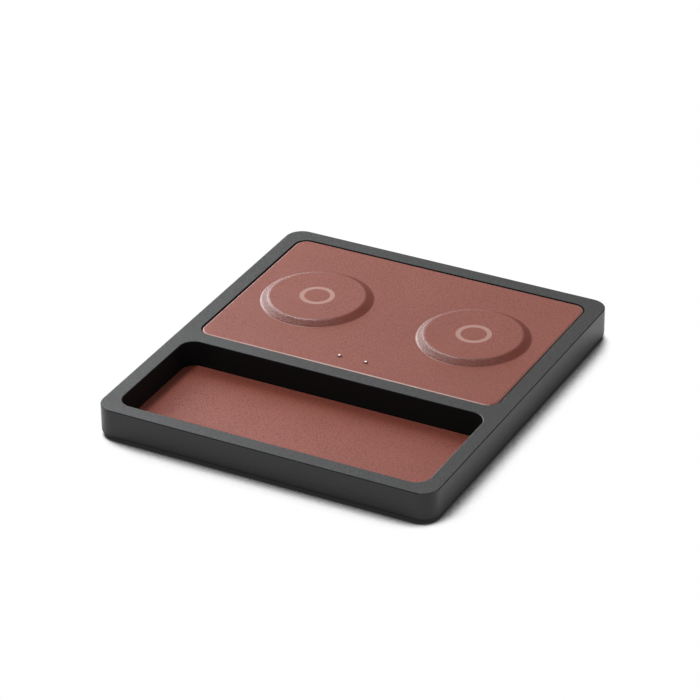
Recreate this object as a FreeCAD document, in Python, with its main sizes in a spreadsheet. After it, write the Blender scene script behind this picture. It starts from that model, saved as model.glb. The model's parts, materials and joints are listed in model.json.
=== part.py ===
import FreeCAD, Part
import math
import os
import Sketcher

# A desk tray with a leather-lined pocket at the front and a leather-covered charging
# panel behind it, which holds two magnetic wireless charging pucks.
# Millimetres. X runs along the front edge to the right, Y towards the back, Z up.
# The origin is on the surface that the feet stand on, under the middle of the tray.

V = FreeCAD.Vector
LEFT, RIGHT = "-1", "1"

DIMENSIONS = {
    # frame
    "tray_width": 200.0,
    "tray_depth": 224.5,
    "frame_height": 18.0,
    "corner_radius": 10.0,
    "top_edge_radius": 0.3,
    "bottom_edge_radius": 3.0,
    "pocket_width": 182.6,
    "pocket_depth": 76.0,
    "pocket_radius": 8.5,
    "front_wall": 8.8,
    "recess_width": 181.6,
    "recess_depth": 121.5,
    "recess_radius": 7.9,
    "back_wall": 9.15,
    "ledge_drop": 3.3,
    "ledge_width": 3.5,
    "bay_radius": 5.0,
    # underside
    "foot_height": 1.0,
    "foot_diameter": 16.0,
    "foot_seat": 0.6,
    "foot_spacing_x": 160.0,
    "foot_spacing_y": 186.0,
    "base_thickness": 1.5,
    "base_inset": 3.4,
    "fit_gap": 0.15,
    "base_screw_diameter": 2.5,
    "base_screw_head": 4.6,
    "base_screw_length": 8.0,
    "base_screw_edge": 6.6,
    # pocket lining
    "liner_board": 0.7,
    "liner_leather": 0.8,
    # charging panel
    "panel_gap": 0.9,
    "tape_thickness": 0.3,
    "substrate_thickness": 1.8,
    "leather_thickness": 1.2,
    "leather_edge_radius": 0.8,
    "pad_spacing": 97.0,
    "pad_shift": 1.15,
    "pad_rise": 2.45,
    "pad_base_diameter": 63.4,
    "pad_top_diameter": 54.6,
    "pad_shoulder_radius": 1.6,
    "pad_foot_radius": 2.0,
    "light_spacing": 16.0,
    "light_setback": 10.65,
    "light_diameter": 2.5,
    "light_rise": 0.85,
    "light_crown_radius": 0.8,
    "light_flange": 0.8,
    "light_flange_thickness": 0.6,
    # charging puck
    "cap_radius": 29.0,
    "cap_wall": 0.8,
    "carrier_radius": 33.0,
    "carrier_thickness": 1.2,
    "carrier_rise": 1.1,
    "magnet_inner": 23.0,
    "magnet_outer": 27.5,
    "magnet_thickness": 1.2,
    "yoke_thickness": 0.5,
    "ferrite_radius": 22.5,
    "ferrite_thickness": 0.8,
    "coil_inner": 9.5,
    "coil_pitch": 3.3,
    "coil_strand": 2.7,
    "coil_thickness": 1.0,
    "lead_width": 1.6,
    "lead_thickness": 0.8,
    "lead_gap": 0.4,
    "lead_bend_radius": 4.0,
    # electronics
    "screw_diameter": 2.0,
    "screw_head": 3.8,
    "screw_head_height": 1.3,
    "board_width": 116.0,
    "board_depth": 25.0,
    "board_thickness": 1.6,
    "board_back_gap": 1.6,
    "standoff_height": 2.0,
    "tongue_width": 14.0,
    "socket_width": 8.94,
    "socket_height": 3.16,
    "socket_depth": 7.3,
    "socket_wall": 0.3,
    "socket_back": 1.0,
    "socket_setback": 0.15,
    "socket_tongue_width": 6.7,
    "socket_tongue_thickness": 0.7,
    "socket_tongue_length": 4.5,
    "port_wall": 1.5,
    "port_clearance": 0.4,
    "chip_height": 0.9,
    "choke_size": 7.0,
    "choke_height": 3.0,
    "capacitor_width": 2.5,
    "capacitor_depth": 3.2,
    "capacitor_height": 2.2,
    "connector_width": 6.0,
    "connector_depth": 5.0,
    "connector_height": 4.0,
    "light_board_width": 32.0,
    "light_board_depth": 7.0,
    "light_board_thickness": 1.0,
    "light_board_drop": 2.4,
    "light_post_diameter": 3.2,
    "light_pin_length": 1.8,
    "indicator_size": 1.6,
    "indicator_height": 0.6,
    "ribbon_width": 4.0,
    "ribbon_thickness": 0.6,
    "ribbon_bend_radius": 2.0,
    "screw_length": 3.8,
}

COIL_TURNS = 3
MAGNET_PLACES = 12

doc = FreeCAD.newDocument("charging_tray")
sheet = doc.addObject("Spreadsheet::Sheet", "dims")
for row, (alias, size) in enumerate(DIMENSIONS.items(), start=1):
    sheet.set(f"A{row}", alias)
    sheet.set(f"B{row}", str(size))
    sheet.setAlias(f"B{row}", alias)
doc.recompute()


# ---------------------------------------------------------------- levels and places

def total(*terms):
    return " + ".join(f"({term})" for term in terms)


def minus(term):
    return f"-({term})"


FLOOR = "dims.foot_height"
BASE_TOP = total(FLOOR, "dims.base_thickness")
FRAME_TOP = total(FLOOR, "dims.frame_height")
LEDGE = total(FRAME_TOP, "-dims.ledge_drop")
SUBSTRATE_BOTTOM = total(LEDGE, "dims.tape_thickness")
SUBSTRATE_TOP = total(SUBSTRATE_BOTTOM, "dims.substrate_thickness")
PANEL_TOP = total(SUBSTRATE_TOP, "dims.leather_thickness")
PAD_TOP = total(PANEL_TOP, "dims.pad_rise")
CAP_TOP = total(PAD_TOP, "-dims.leather_thickness")
COIL_TOP = total(CAP_TOP, "-dims.cap_wall")
COIL_BOTTOM = total(COIL_TOP, "-dims.coil_thickness")
FERRITE_BOTTOM = total(COIL_BOTTOM, "-dims.ferrite_thickness")
CARRIER_BOTTOM = total(SUBSTRATE_BOTTOM, "-dims.carrier_thickness")
CARRIER_TOP = total(SUBSTRATE_BOTTOM, "dims.carrier_rise")
YOKE_TOP = total(CARRIER_TOP, "dims.yoke_thickness")
BOARD_BOTTOM = total(BASE_TOP, "dims.standoff_height")
BOARD_TOP = total(BOARD_BOTTOM, "dims.board_thickness")
LIGHT_BOARD_TOP = total(SUBSTRATE_BOTTOM, "-dims.light_board_drop")
LIGHT_BOARD_BOTTOM = total(LIGHT_BOARD_TOP, "-dims.light_board_thickness")

FRONT_Y = "-dims.tray_depth / 2"
BACK_Y = "dims.tray_depth / 2"
POCKET_Y = total(FRONT_Y, "dims.front_wall", "dims.pocket_depth / 2")
RECESS_Y = total(BACK_Y, "-dims.back_wall", "-dims.recess_depth / 2")
PAD_Y = total(RECESS_Y, "dims.pad_shift")
BAY_WIDTH = "dims.recess_width - 2 * dims.ledge_width"
BAY_DEPTH = "dims.recess_depth - 2 * dims.ledge_width"
BAY_BACK = total(RECESS_Y, "dims.recess_depth / 2", "-dims.ledge_width")
LIGHT_Y = total(RECESS_Y, "-dims.recess_depth / 2", "dims.panel_gap", "dims.light_setback")
BOARD_Y = total(BAY_BACK, "-dims.board_back_gap", "-dims.board_depth / 2")
BOARD_FRONT = total(BOARD_Y, "-dims.board_depth / 2")
CONNECTOR_ENTRY = total(BOARD_TOP, "dims.connector_height / 2")
PORT_FACE_Y = total(BACK_Y, "-dims.port_wall")
PORT_Z = total(BOARD_TOP, "dims.socket_height / 2")

PANEL_WIDTH = "dims.recess_width - 2 * dims.panel_gap"
PANEL_DEPTH = "dims.recess_depth - 2 * dims.panel_gap"
PANEL_RADIUS = "dims.recess_radius - dims.panel_gap"

SIDE_SCREW_X = "dims.tray_width / 2 - dims.base_screw_edge"
BASE_SCREWS = [
    (f"{side} * ({x})", y)
    for side in (LEFT, RIGHT)
    for x, y in (
        ("dims.tray_width * 0.3", total(FRONT_Y, "dims.base_screw_edge")),
        (SIDE_SCREW_X, total(POCKET_Y, "dims.pocket_depth / 2", "5.5")),
        ("dims.tray_width * 0.3", total(BACK_Y, "-dims.base_screw_edge")),
    )
]
BOARD_SCREWS = [
    (f"{side} * (dims.board_width / 2 - 4)", f"{BOARD_Y} + {end} * (dims.board_depth / 2 - 4)")
    for side in (LEFT, RIGHT)
    for end in (LEFT, RIGHT)
]
LIGHT_POSTS = [(f"{side} * (dims.light_board_width / 2 - 2)", LIGHT_Y) for side in (LEFT, RIGHT)]
LIGHTS = [(f"{side} * dims.light_spacing / 2", LIGHT_Y) for side in (LEFT, RIGHT)]
PADS = {"left": f"{LEFT} * dims.pad_spacing / 2", "right": f"{RIGHT} * dims.pad_spacing / 2"}
FEET = {
    f"{row}_{word}": (f"{side} * dims.foot_spacing_x / 2", f"{end} * dims.foot_spacing_y / 2")
    for row, end in (("front", LEFT), ("back", RIGHT))
    for word, side in (("left", LEFT), ("right", RIGHT))
}


# ---------------------------------------------------------------- sketches

def value(expression):
    """The size that an expression on the sheet gives."""
    return float(sheet.evalExpression(expression))


def new_body(name):
    body = doc.addObject("PartDesign::Body", name)
    body.Label = name
    return body


def add_sketch(body, name, plane="XY_Plane", offset=("0", "0", "0")):
    """An empty sketch on one of the body's origin planes, moved by the offset."""
    sketch = body.newObject("Sketcher::SketchObject", name)
    origin_plane = next(item for item in body.Origin.OriginFeatures if item.Role == plane)
    sketch.AttachmentSupport = [(origin_plane, "")]
    sketch.MapMode = "FlatFace"
    for axis, expression in zip("xyz", offset):
        if expression != "0":
            sketch.setExpression("AttachmentOffset.Base." + axis, expression)
    return sketch


def dimension(sketch, kind, expression, *elements):
    index = sketch.addConstraint(Sketcher.Constraint(kind, *elements, value(expression)))
    sketch.setExpression(f"Constraints[{index}]", expression)


def locate(sketch, geometry, point, x, y):
    """Fixes a point of the geometry at x and y from the sketch's origin."""
    for kind, axis, expression in (("DistanceX", -2, x), ("DistanceY", -1, y)):
        if expression == "0":
            sketch.addConstraint(Sketcher.Constraint("PointOnObject", geometry, point, axis))
        else:
            dimension(sketch, kind, expression, -1, 1, geometry, point)


def circle(sketch, diameter, x="0", y="0"):
    outline = Part.Circle(V(value(x), value(y), 0), V(0, 0, 1), value(diameter) / 2)
    index = sketch.addGeometry(outline, False)
    locate(sketch, index, 3, x, y)
    dimension(sketch, "Diameter", diameter, index)


def polygon(sketch, points):
    """Straight edges through points, each a pair of expressions."""
    spots = [V(value(x), value(y), 0) for x, y in points]
    first = sketch.GeometryCount
    for start, end in zip(spots, spots[1:] + spots[:1]):
        sketch.addGeometry(Part.LineSegment(start, end), False)
    for index, (x, y) in enumerate(points):
        following = first + (index + 1) % len(points)
        sketch.addConstraint(Sketcher.Constraint("Coincident", first + index, 2, following, 1))
        locate(sketch, first + index, 1, x, y)


def rectangle(sketch, width, depth, x="0", y="0"):
    polygon(sketch, [
        (f"{x} + {side} * ({width}) / 2", f"{y} + {end} * ({depth}) / 2")
        for side, end in ((LEFT, LEFT), (RIGHT, LEFT), (RIGHT, RIGHT), (LEFT, RIGHT))
    ])


def rounded_rectangle(sketch, width, depth, radius):
    """A rectangle with round corners about the sketch's origin."""
    corner = value(radius)
    half_x = value(width) / 2 - corner
    half_y = value(depth) / 2 - corner
    centres = (V(half_x, -half_y, 0), V(half_x, half_y, 0), V(-half_x, half_y, 0), V(-half_x, -half_y, 0))
    outwards = (V(0, -corner, 0), V(corner, 0, 0), V(0, corner, 0), V(-corner, 0, 0))
    for side in range(4):
        start = centres[side - 1] + outwards[side]
        end = centres[side] + outwards[side]
        arc_end = centres[side] + outwards[(side + 1) % 4]
        middle = centres[side] + (outwards[side] + outwards[(side + 1) % 4]).normalize() * corner
        sketch.addGeometry(Part.LineSegment(start, end), False)
        sketch.addGeometry(Part.Arc(end, middle, arc_end), False)
    for side in range(4):
        line, arc, following = 2 * side, 2 * side + 1, (2 * side + 2) % 8
        sketch.addConstraint(Sketcher.Constraint("Tangent", line, 2, arc, 1))
        sketch.addConstraint(Sketcher.Constraint("Tangent", arc, 2, following, 1))
        sketch.addConstraint(Sketcher.Constraint("Vertical" if side % 2 else "Horizontal", line))
        if side:
            sketch.addConstraint(Sketcher.Constraint("Equal", 1, arc))
    sketch.addConstraint(Sketcher.Constraint("Symmetric", 0, 1, 4, 1, -1, 1))
    dimension(sketch, "Radius", radius, 1)
    dimension(sketch, "DistanceX", width, 6, 1, 2, 1)
    dimension(sketch, "DistanceY", depth, 0, 1, 4, 1)


# ---------------------------------------------------------------- features

def pad(body, sketch, length):
    """Raises the sketch along its normal."""
    feature = body.newObject("PartDesign::Pad", sketch.Name + "_pad")
    feature.Profile = sketch
    feature.setExpression("Length", length)
    doc.recompute()
    return feature


def pocket(body, sketch, length):
    """Cuts from the sketch along its normal."""
    before = body.Shape.Volume
    feature = body.newObject("PartDesign::Pocket", sketch.Name + "_pocket")
    feature.Profile = sketch
    feature.Reversed = True
    feature.setExpression("Length", length)
    doc.recompute()
    if body.Shape.Volume >= before:
        raise ValueError(f"{feature.Name} cuts nothing")
    return feature


def turn(body, sketch, kind="Revolution"):
    """Turns the sketch about its own vertical axis, as a solid or as a cut (Groove)."""
    before = body.Shape.Volume if body.Tip else 0.0
    feature = body.newObject("PartDesign::" + kind, f"{sketch.Name}_{kind.lower()}")
    feature.Profile = sketch
    feature.ReferenceAxis = (sketch, ["V_Axis"])
    feature.Angle = 360
    doc.recompute()
    grows = body.Shape.Volume > before
    if grows != (kind == "Revolution"):
        raise ValueError(f"{feature.Name} goes the wrong way")
    return feature


def dress_edges(body, kind, prop, size, test):
    """Dresses the edges of the body's last feature that pass the test."""
    base = body.Tip
    names = [f"Edge{number}" for number, edge in enumerate(base.Shape.Edges, start=1) if test(edge)]
    feature = body.newObject("PartDesign::" + kind, f"{base.Name}_{kind.lower()}")
    feature.Base = (base, names)
    feature.setExpression(prop, size)
    doc.recompute()
    return feature


def round_edges(body, radius, test):
    return dress_edges(body, "Fillet", "Radius", radius, test)


def bevel_edges(body, size, test):
    return dress_edges(body, "Chamfer", "Size", size, test)


def edges_at(level):
    """A test for the flat edges at a height."""
    height = value(level)

    def test(edge):
        box = edge.BoundBox
        return abs(box.ZMin - height) < 0.01 and abs(box.ZMax - height) < 0.01

    return test


def circles_at(level, radius):
    """A test for the full circles of a radius at a height."""
    at_level = edges_at(level)
    across = 2 * value(radius)

    def test(edge):
        return at_level(edge) and abs(edge.BoundBox.XLength - across) < 0.01

    return test


def plate(name, width, depth, radius, bottom, thickness, y="0", x="0"):
    """A body that starts as a plate with round corners."""
    body = new_body(name)
    outline = add_sketch(body, name + "_outline", offset=(x, y, bottom))
    rounded_rectangle(outline, width, depth, radius)
    pad(body, outline, thickness)
    return body


def cut_holes(body, name, bottom, length, diameter, spots):
    holes = add_sketch(body, name, offset=("0", "0", bottom))
    for x, y in spots:
        circle(holes, diameter, x, y)
    pocket(body, holes, length)


def group(name, master, places):
    """Copies of one piece, each a separate solid, that share a node."""
    links = []
    for number, place in enumerate(places, start=1):
        link = doc.addObject("App::Link", f"{name}_{number}")
        link.LinkedObject = master
        for axis, expression in zip("xyz", place):
            link.setExpression("Placement.Base." + axis, expression)
        links.append(link)
    compound = doc.addObject("Part::Compound", name)
    compound.Label = name
    compound.Links = links
    return compound


def shaped(name, shape):
    """A piece whose shape is worked out from the sheet's sizes in this file."""
    feature = doc.addObject("Part::Feature", name)
    feature.Label = name
    feature.Shape = shape
    return feature


# ---------------------------------------------------------------- frame and underside

def make_frame():
    """One metal frame: outer wall, divider, panel ledge and the port at the back."""
    frame = plate("tray_frame", "dims.tray_width", "dims.tray_depth", "dims.corner_radius",
                  FLOOR, "dims.frame_height")
    round_edges(frame, "dims.bottom_edge_radius", edges_at(FLOOR))

    opening = add_sketch(frame, "pocket_opening", offset=("0", POCKET_Y, FLOOR))
    rounded_rectangle(opening, "dims.pocket_width", "dims.pocket_depth", "dims.pocket_radius")
    pocket(frame, opening, "dims.frame_height")

    recess = add_sketch(frame, "panel_recess", offset=("0", RECESS_Y, LEDGE))
    rounded_rectangle(recess, "dims.recess_width", "dims.recess_depth", "dims.recess_radius")
    pocket(frame, recess, "dims.ledge_drop")
    round_edges(frame, "dims.top_edge_radius", edges_at(FRAME_TOP))

    bay = add_sketch(frame, "electronics_bay", offset=("0", RECESS_Y, FLOOR))
    rounded_rectangle(bay, BAY_WIDTH, BAY_DEPTH, "dims.bay_radius")
    pocket(frame, bay, "dims.frame_height - dims.ledge_drop")

    rebate = add_sketch(frame, "base_rebate", offset=("0", "0", FLOOR))
    rounded_rectangle(rebate, "dims.tray_width - 2 * dims.base_inset",
                      "dims.tray_depth - 2 * dims.base_inset",
                      "dims.corner_radius - dims.base_inset")
    pocket(frame, rebate, "dims.base_thickness")

    notch_depth = total(PORT_FACE_Y, minus(BAY_BACK), "1")
    notch = add_sketch(frame, "socket_notch", offset=("0", "0", BASE_TOP))
    rectangle(notch, "dims.tongue_width + 3", notch_depth, y=total(PORT_FACE_Y, f"-({notch_depth}) / 2"))
    pocket(frame, notch, total(BOARD_TOP, "dims.socket_height + 1.5", minus(BASE_TOP)))

    port = add_sketch(frame, "port_opening", plane="XZ_Plane", offset=("0", PORT_Z, minus(BACK_Y)))
    rounded_rectangle(port, "dims.socket_width + dims.port_clearance",
                      "dims.socket_height + dims.port_clearance", "dims.socket_height * 0.45")
    pocket(frame, port, "dims.port_wall + 0.5")

    cut_holes(frame, "base_screw_holes", BASE_TOP, "dims.base_screw_length",
              "dims.base_screw_diameter + 0.1", BASE_SCREWS)
    return frame


def make_base_plate():
    """The cover on the underside, with seats for feet and posts for the main board."""
    base = plate("base_plate", "dims.tray_width - 2 * (dims.base_inset + dims.fit_gap)",
                 "dims.tray_depth - 2 * (dims.base_inset + dims.fit_gap)",
                 "dims.corner_radius - dims.base_inset - dims.fit_gap", FLOOR, "dims.base_thickness")
    posts = add_sketch(base, "board_posts", offset=("0", "0", BASE_TOP))
    for x, y in BOARD_SCREWS:
        circle(posts, "dims.screw_diameter + 3", x, y)
    pad(base, posts, "dims.standoff_height")
    cut_holes(base, "board_post_holes", total(BASE_TOP, "-0.6"), "dims.standoff_height + 0.6",
              "dims.screw_diameter + 0.1", BOARD_SCREWS)
    cut_holes(base, "foot_seats", FLOOR, "dims.foot_seat", "dims.foot_diameter + 2 * dims.fit_gap",
              FEET.values())
    cut_holes(base, "base_holes", FLOOR, "dims.base_thickness", "dims.base_screw_diameter + 0.1",
              BASE_SCREWS)
    for number, (x, y) in enumerate(BASE_SCREWS):
        sink = add_sketch(base, f"countersink_{number}", plane="XZ_Plane", offset=(x, "0", minus(y)))
        head = "dims.base_screw_head / 2 + 0.1"
        shank = "dims.base_screw_diameter / 2 + 0.05"
        polygon(sink, [("0", FLOOR), (head, FLOOR), (shank, total(FLOOR, head, minus(shank))),
                       ("0", total(FLOOR, head, minus(shank)))])
        turn(base, sink, "Groove")
    return base


def make_foot(name, place):
    """A round rubber foot with a chamfered lower edge."""
    foot = new_body(name)
    outline = add_sketch(foot, name + "_outline", offset=(*place, "0"))
    circle(outline, "dims.foot_diameter")
    pad(foot, outline, "dims.foot_height + dims.foot_seat")
    bevel_edges(foot, "dims.foot_height * 0.4", edges_at("0"))
    return foot


def make_base_screws():
    """Countersunk screws, driven up through the base plate into the frame."""
    screw = new_body("base_screw")
    profile = add_sketch(screw, "base_screw_profile", plane="XZ_Plane")
    shank = "dims.base_screw_diameter / 2"
    head = "dims.base_screw_head / 2"
    polygon(profile, [("0", "0"), (head, "0"), (shank, f"{head} - {shank}"),
                      (shank, "dims.base_screw_length"), ("0", "dims.base_screw_length")])
    turn(screw, profile)
    return group("base_screws", screw, [(x, y, FLOOR) for x, y in BASE_SCREWS])


# ---------------------------------------------------------------- pocket lining

def make_lining():
    """A stiff board and the leather glued to it, laid on the floor of the pocket."""
    width = "dims.pocket_width - 2 * dims.fit_gap"
    depth = "dims.pocket_depth - 2 * dims.fit_gap"
    radius = "dims.pocket_radius - dims.fit_gap"
    board = plate("liner_board", width, depth, radius, BASE_TOP, "dims.liner_board", y=POCKET_Y)
    leather = plate("liner_leather", width, depth, radius, total(BASE_TOP, "dims.liner_board"),
                    "dims.liner_leather", y=POCKET_Y)
    return board, leather


# ---------------------------------------------------------------- charging panel

FLANK_RUN = "(dims.pad_base_diameter - dims.pad_top_diameter) / 2"
FLANK_LENGTH = f"sqrt(({FLANK_RUN}) ^ 2 + dims.pad_rise ^ 2)"
FLANK_SLOPE = f"dims.pad_rise / ({FLANK_RUN})"


def flank_radius(level, depth):
    """Radius of the pad's sloping flank at a height, at a depth below its surface."""
    return (f"dims.pad_base_diameter / 2 - ({depth}) * ({FLANK_LENGTH}) / dims.pad_rise"
            f" - ({level} - ({PANEL_TOP})) / ({FLANK_SLOPE})")


def make_leather():
    """The leather skin of the panel, drawn over both pucks and turned down at its edges."""
    skin = plate("panel_leather", PANEL_WIDTH, PANEL_DEPTH, PANEL_RADIUS, SUBSTRATE_BOTTOM,
                 "dims.substrate_thickness + dims.leather_thickness", y=RECESS_Y)
    round_edges(skin, "dims.leather_edge_radius", edges_at(PANEL_TOP))
    base_radius, root = "dims.pad_base_diameter / 2", total(PANEL_TOP, "-0.3")
    for word, pad_x in PADS.items():
        rise = add_sketch(skin, f"pad_rise_{word}", "XZ_Plane", (pad_x, "0", minus(PAD_Y)))
        polygon(rise, [("0", root), (base_radius, root), (base_radius, PANEL_TOP),
                       ("dims.pad_top_diameter / 2", PAD_TOP), ("0", PAD_TOP)])
        turn(skin, rise)
    round_edges(skin, "dims.pad_shoulder_radius", edges_at(PAD_TOP))
    round_edges(skin, "dims.pad_foot_radius", circles_at(PANEL_TOP, base_radius))

    inside = add_sketch(skin, "substrate_space", offset=("0", RECESS_Y, SUBSTRATE_BOTTOM))
    rounded_rectangle(inside, f"{PANEL_WIDTH} - 2 * dims.leather_thickness",
                      f"{PANEL_DEPTH} - 2 * dims.leather_thickness",
                      f"{PANEL_RADIUS} - dims.leather_thickness")
    pocket(skin, inside, "dims.substrate_thickness")
    depth, low = "dims.leather_thickness", total(SUBSTRATE_TOP, "-0.3")
    for word, pad_x in PADS.items():
        hollow = add_sketch(skin, f"puck_space_{word}", "XZ_Plane", (pad_x, "0", minus(PAD_Y)))
        polygon(hollow, [("0", low), (flank_radius(SUBSTRATE_TOP, depth), low),
                         (flank_radius(SUBSTRATE_TOP, depth), SUBSTRATE_TOP),
                         (flank_radius(CAP_TOP, depth), CAP_TOP), ("0", CAP_TOP)])
        turn(skin, hollow, "Groove")
    cut_holes(skin, "leather_light_holes", SUBSTRATE_TOP, "dims.leather_thickness",
              "dims.light_diameter + 0.1", LIGHTS)
    return skin


def make_substrate():
    """The moulded board under the leather: puck openings with collars, and bosses below."""
    gap = "dims.leather_thickness + 0.05"
    board = plate("panel_substrate", f"{PANEL_WIDTH} - 2 * ({gap})", f"{PANEL_DEPTH} - 2 * ({gap})",
                  f"{PANEL_RADIUS} - ({gap})", SUBSTRATE_BOTTOM, "dims.substrate_thickness", y=RECESS_Y)
    bore = "dims.cap_radius + 0.2"
    depth = "dims.leather_thickness + 0.1"
    crest = f"({SUBSTRATE_TOP}) + ({flank_radius(SUBSTRATE_TOP, depth)} - ({bore})) * {FLANK_SLOPE}"
    for word, pad_x in PADS.items():
        collar = add_sketch(board, f"collar_{word}", "XZ_Plane", (pad_x, "0", minus(PAD_Y)))
        collar_radius = flank_radius(SUBSTRATE_TOP, depth)
        polygon(collar, [("0", SUBSTRATE_BOTTOM), (collar_radius, SUBSTRATE_BOTTOM),
                         (collar_radius, SUBSTRATE_TOP), (bore, crest), ("0", crest)])
        turn(board, collar)
    light_posts = add_sketch(board, "light_posts", offset=("0", "0", LIGHT_BOARD_TOP))
    for x, y in LIGHT_POSTS:
        circle(light_posts, "dims.light_post_diameter", x, y)
    pad(board, light_posts, "dims.light_board_drop")
    pins = add_sketch(board, "light_pins",
                      offset=("0", "0", total(LIGHT_BOARD_TOP, "-dims.light_pin_length")))
    for x, y in LIGHT_POSTS:
        circle(pins, "dims.light_post_diameter / 2", x, y)
    pad(board, pins, "dims.light_pin_length")
    cut_holes(board, "puck_bores", SUBSTRATE_BOTTOM, "dims.substrate_thickness + 3", f"2 * ({bore})",
              [(pad_x, PAD_Y) for pad_x in PADS.values()])
    cut_holes(board, "light_holes", SUBSTRATE_BOTTOM, "dims.substrate_thickness",
              "dims.light_diameter + 0.1", LIGHTS)
    return board


def make_tape():
    """The ring of adhesive tape that holds the panel on the frame's ledge."""
    tape = plate("panel_tape", f"{PANEL_WIDTH}", f"{PANEL_DEPTH}", PANEL_RADIUS,
                 LEDGE, "dims.tape_thickness", y=RECESS_Y)
    inner = add_sketch(tape, "tape_inner", offset=("0", RECESS_Y, LEDGE))
    rounded_rectangle(inner, BAY_WIDTH, BAY_DEPTH, "dims.bay_radius")
    pocket(tape, inner, "dims.tape_thickness")
    return tape


def make_light_pipe(name, place):
    """A clear pin with a flange below the panel and a domed top above the leather."""
    x, y = place
    pipe = new_body(name)
    profile = add_sketch(pipe, name + "_profile", "XZ_Plane", (x, "0", minus(y)))
    stem = "dims.light_diameter / 2"
    flange = f"{stem} + dims.light_flange"
    flange_bottom = total(SUBSTRATE_BOTTOM, "-dims.light_flange_thickness")
    foot = total(LIGHT_BOARD_TOP, "dims.indicator_height", "0.1")
    crown = total(PANEL_TOP, "dims.light_rise")
    polygon(profile, [("0", foot), (stem, foot),
                      (stem, flange_bottom), (flange, flange_bottom), (flange, SUBSTRATE_BOTTOM),
                      (stem, SUBSTRATE_BOTTOM), (stem, crown), ("0", crown)])
    turn(pipe, profile)
    round_edges(pipe, "dims.light_crown_radius", edges_at(crown))
    return pipe


# ---------------------------------------------------------------- charging pucks

def puck_body(name, pad_x):
    """A body whose own axis stands on the middle of a charging pad."""
    body = new_body(name)
    body.setExpression("Placement.Base.x", pad_x)
    body.setExpression("Placement.Base.y", PAD_Y)
    return body


def turned(name, pad_x, points):
    """A ring or disc of the puck, turned from its profile."""
    body = puck_body(name, pad_x)
    profile = add_sketch(body, name + "_profile", "XZ_Plane")
    polygon(profile, points)
    turn(body, profile)
    return body


def cut_lead_window(body, name, bottom, height):
    """The slot that the two coil leads go down through."""
    window = add_sketch(body, name, offset=("0", "0", bottom))
    reach = f"dims.coil_pitch * {COIL_TURNS} + dims.coil_strand + 1.5"
    rectangle(window, "dims.lead_width * 2 + 1.6", reach, y=f"dims.coil_inner - 1 + ({reach}) / 2")
    pocket(body, window, height)


def make_cap(name, pad_x):
    """The puck's plastic cap, with a shoulder that follows the flank of the pad."""
    outside, inside = "dims.leather_thickness", "dims.leather_thickness + dims.cap_wall"
    outer, bore = "dims.cap_radius", "dims.cap_radius - dims.cap_wall"

    def shoulder(radius, depth):
        return f"({SUBSTRATE_TOP}) + ({flank_radius(SUBSTRATE_TOP, depth)} - ({radius})) * {FLANK_SLOPE}"

    return turned(name, pad_x, [
        (bore, SUBSTRATE_BOTTOM), (outer, SUBSTRATE_BOTTOM), (outer, shoulder(outer, outside)),
        (flank_radius(CAP_TOP, outside), CAP_TOP), ("0", CAP_TOP), ("0", COIL_TOP),
        (flank_radius(COIL_TOP, inside), COIL_TOP), (bore, shoulder(bore, inside)),
    ])


def make_carrier(name, pad_x):
    """The moulded carrier that holds ferrite, magnets and yoke up inside the cap."""
    step = "dims.magnet_inner - 0.2"
    rim = "dims.cap_radius - dims.cap_wall - 0.1"
    carrier = turned(name, pad_x, [
        ("0", CARRIER_BOTTOM), ("dims.carrier_radius", CARRIER_BOTTOM),
        ("dims.carrier_radius", SUBSTRATE_BOTTOM), (rim, SUBSTRATE_BOTTOM), (rim, CARRIER_TOP),
        (step, CARRIER_TOP), (step, FERRITE_BOTTOM), ("0", FERRITE_BOTTOM),
    ])
    cut_lead_window(carrier, name + "_window", CARRIER_BOTTOM, total(FERRITE_BOTTOM, minus(CARRIER_BOTTOM)))
    return carrier


def make_ferrite(name, pad_x):
    """The ferrite disc under the coil."""
    ferrite = turned(name, pad_x, [
        ("0", FERRITE_BOTTOM), ("dims.ferrite_radius", FERRITE_BOTTOM),
        ("dims.ferrite_radius", COIL_BOTTOM), ("0", COIL_BOTTOM),
    ])
    cut_lead_window(ferrite, name + "_window", FERRITE_BOTTOM, "dims.ferrite_thickness")
    return ferrite


def make_yoke(name, pad_x):
    """The steel ring under the magnets."""
    return turned(name, pad_x, [
        ("dims.magnet_inner", CARRIER_TOP), ("dims.magnet_outer", CARRIER_TOP),
        ("dims.magnet_outer", YOKE_TOP), ("dims.magnet_inner", YOKE_TOP),
    ])


def make_magnets(name, pad_x):
    """A ring of magnet segments with one place left open."""
    magnet_top = total(YOKE_TOP, "dims.magnet_thickness")
    pitch = 360 / MAGNET_PLACES
    body = puck_body(name, pad_x)
    profile = add_sketch(body, name + "_profile", "XZ_Plane")
    polygon(profile, [("dims.magnet_inner", YOKE_TOP), ("dims.magnet_outer", YOKE_TOP),
                      ("dims.magnet_outer", magnet_top), ("dims.magnet_inner", magnet_top)])
    segment = turn(body, profile)
    segment.Angle = pitch - 2
    ring = body.newObject("PartDesign::PolarPattern", name + "_pattern")
    ring.Originals = [segment]
    ring.Axis = (profile, ["V_Axis"])
    ring.Occurrences = MAGNET_PLACES - 1
    ring.Angle = pitch * (MAGNET_PLACES - 2)
    body.Tip = ring
    return body


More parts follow.
